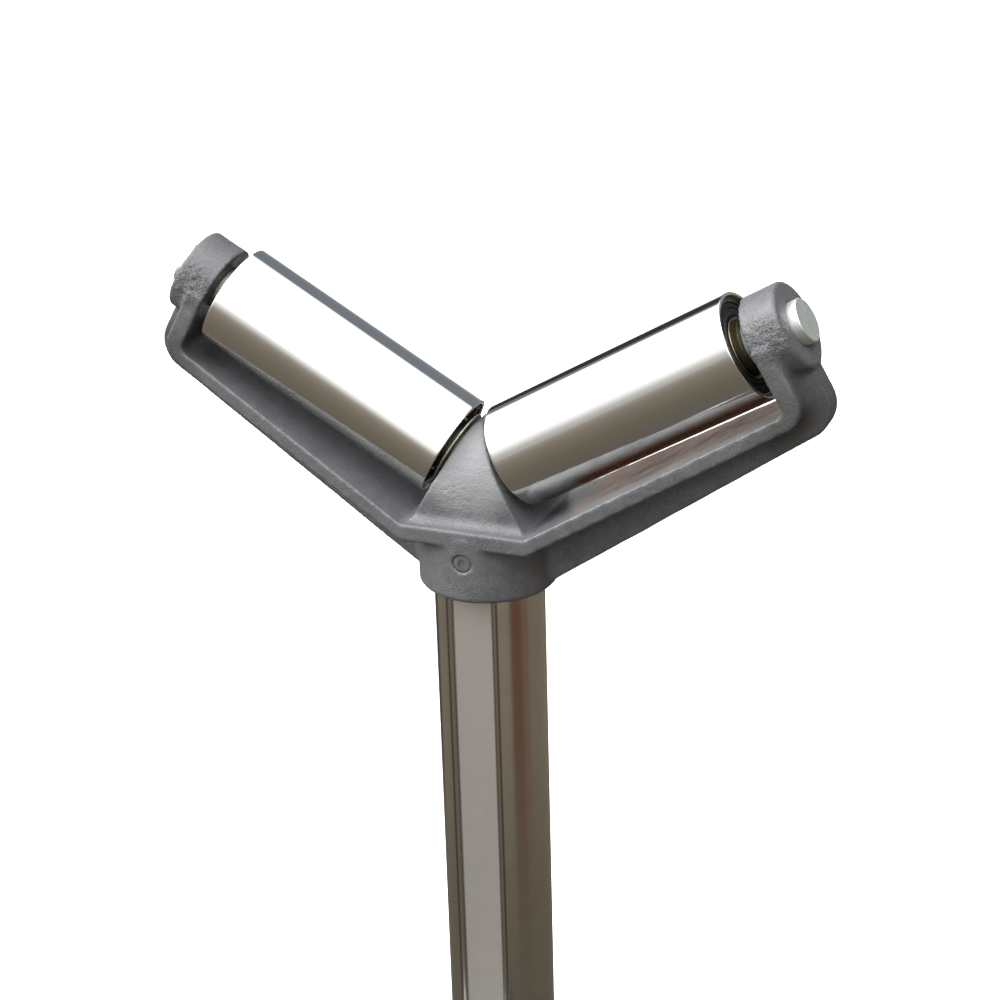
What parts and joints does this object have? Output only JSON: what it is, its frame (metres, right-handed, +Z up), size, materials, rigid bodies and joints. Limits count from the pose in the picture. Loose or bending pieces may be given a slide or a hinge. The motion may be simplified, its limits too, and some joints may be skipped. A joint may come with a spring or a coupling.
{
  "type": "roller stand",
  "caption": "Height-adjustable stand with chromed rollers set in a V on a cast head, to carry pipe, tube or bar at a saw or bench.",
  "frame": {"origin": "on the floor under the middle of the post", "axes": "+Z up along the post, +X along the rollers to the right, -Y to the front where the clamp is"},
  "size_m": [0.463, 0.463, 0.9289],
  "materials": {
    "cast_paint": "grey paint over rough cast iron, half gloss",
    "column_paint": "grey paint over drawn tube, half gloss",
    "post_steel": "bright drawn steel, finely brushed across",
    "roller_chrome": "polished hard chrome",
    "zinc": "clear zinc plate",
    "yellow_zinc": "pale yellow zinc plate",
    "race_steel": "ground bearing steel with an oil tint",
    "ball_steel": "lapped steel balls",
    "cage_brass": "turned brass",
    "seal_rubber": "black nitrile",
    "bush_plastic": "natural acetal",
    "cap_plastic": "black polyethylene",
    "foot_rubber": "black rubber",
    "pad_brass": "turned brass",
    "ball_plastic": "black phenolic"
  },
  "bodies": {
    "base": {"base_casting": "cast_paint", "rubber_feet": "foot_rubber", "foot_screws": "zinc", "column_tube": "column_paint", "column_screws": "zinc", "column_collar": "cast_paint", "collar_screws": "zinc", "upper_guide_bush": "bush_plastic"},
    "head": {"yoke": "cast_paint", "post": "post_steel", "head_grub_screws": "cast_paint", "left_axle": "zinc", "right_axle": "zinc", "axle_grub_screws": "zinc", "left_outer_spacer": "yellow_zinc", "right_outer_spacer": "yellow_zinc", "left_inner_spacer": "yellow_zinc", "right_inner_spacer": "yellow_zinc", "left_centre_sleeve": "zinc", "right_centre_sleeve": "zinc", "left_outboard_inner_race": "race_steel", "left_inboard_inner_race": "race_steel", "right_outboard_inner_race": "race_steel", "right_inboard_inner_race": "race_steel", "lower_guide_bush": "bush_plastic", "bush_screws": "zinc", "post_end_cap": "cap_plastic"},
    "clamp_pad": {"clamp_pad": "pad_brass"},
    "clamp_screw": {"clamp_screw": "zinc", "clamp_bar": "zinc", "clamp_balls": "ball_plastic"},
    "left_roller": {"left_roller_tube": "roller_chrome", "left_outboard_outer_race": "race_steel", "left_outboard_seals": "seal_rubber", "left_inboard_outer_race": "race_steel", "left_inboard_seals": "seal_rubber"},
    "left_cages": {"left_outboard_balls": "ball_steel", "left_outboard_cage": "cage_brass", "left_inboard_balls": "ball_steel", "left_inboard_cage": "cage_brass"},
    "right_roller": {"right_roller_tube": "roller_chrome", "right_outboard_outer_race": "race_steel", "right_outboard_seals": "seal_rubber", "right_inboard_outer_race": "race_steel", "right_inboard_seals": "seal_rubber"},
    "right_cages": {"right_outboard_balls": "ball_steel", "right_outboard_cage": "cage_brass", "right_inboard_balls": "ball_steel", "right_inboard_cage": "cage_brass"}
  },
  "joints": [
    {"name": "post_slide", "type": "slide", "parent": "base", "child": "head", "axis": [0, 0, 1], "range_m": [-0.195, 0.155]},
    {"name": "left_roller_spin", "type": "hinge", "parent": "head", "child": "left_roller", "pos_m": [-0.07006, 0, 0.86925], "axis": [-0.866, 0, 0.5], "continuous": true},
    {"name": "left_cage_spin", "type": "hinge", "parent": "head", "child": "left_cages", "pos_m": [-0.07006, 0, 0.86925], "axis": [-0.866, 0, 0.5], "continuous": true},
    {"name": "right_roller_spin", "type": "hinge", "parent": "head", "child": "right_roller", "pos_m": [0.07006, 0, 0.86925], "axis": [0.866, 0, 0.5], "continuous": true},
    {"name": "right_cage_spin", "type": "hinge", "parent": "head", "child": "right_cages", "pos_m": [0.07006, 0, 0.86925], "axis": [0.866, 0, 0.5], "continuous": true},
    {"name": "clamp_feed", "type": "slide", "parent": "base", "child": "clamp_pad", "axis": [0, 1, 0], "range_m": [-0.0025, 0]},
    {"name": "clamp_turn", "type": "hinge", "parent": "clamp_pad", "child": "clamp_screw", "pos_m": [0, -0.1, 0.476], "axis": [0, 1, 0], "range_deg": [-451, 0]}
  ],
  "couplings": [
    {"joint": "left_cage_spin", "follows": "left_roller_spin", "ratio": 0.61756},
    {"joint": "right_cage_spin", "follows": "right_roller_spin", "ratio": 0.61756},
    {"joint": "clamp_turn", "follows": "clamp_feed", "rad_per_m": 3141.6}
  ]
}
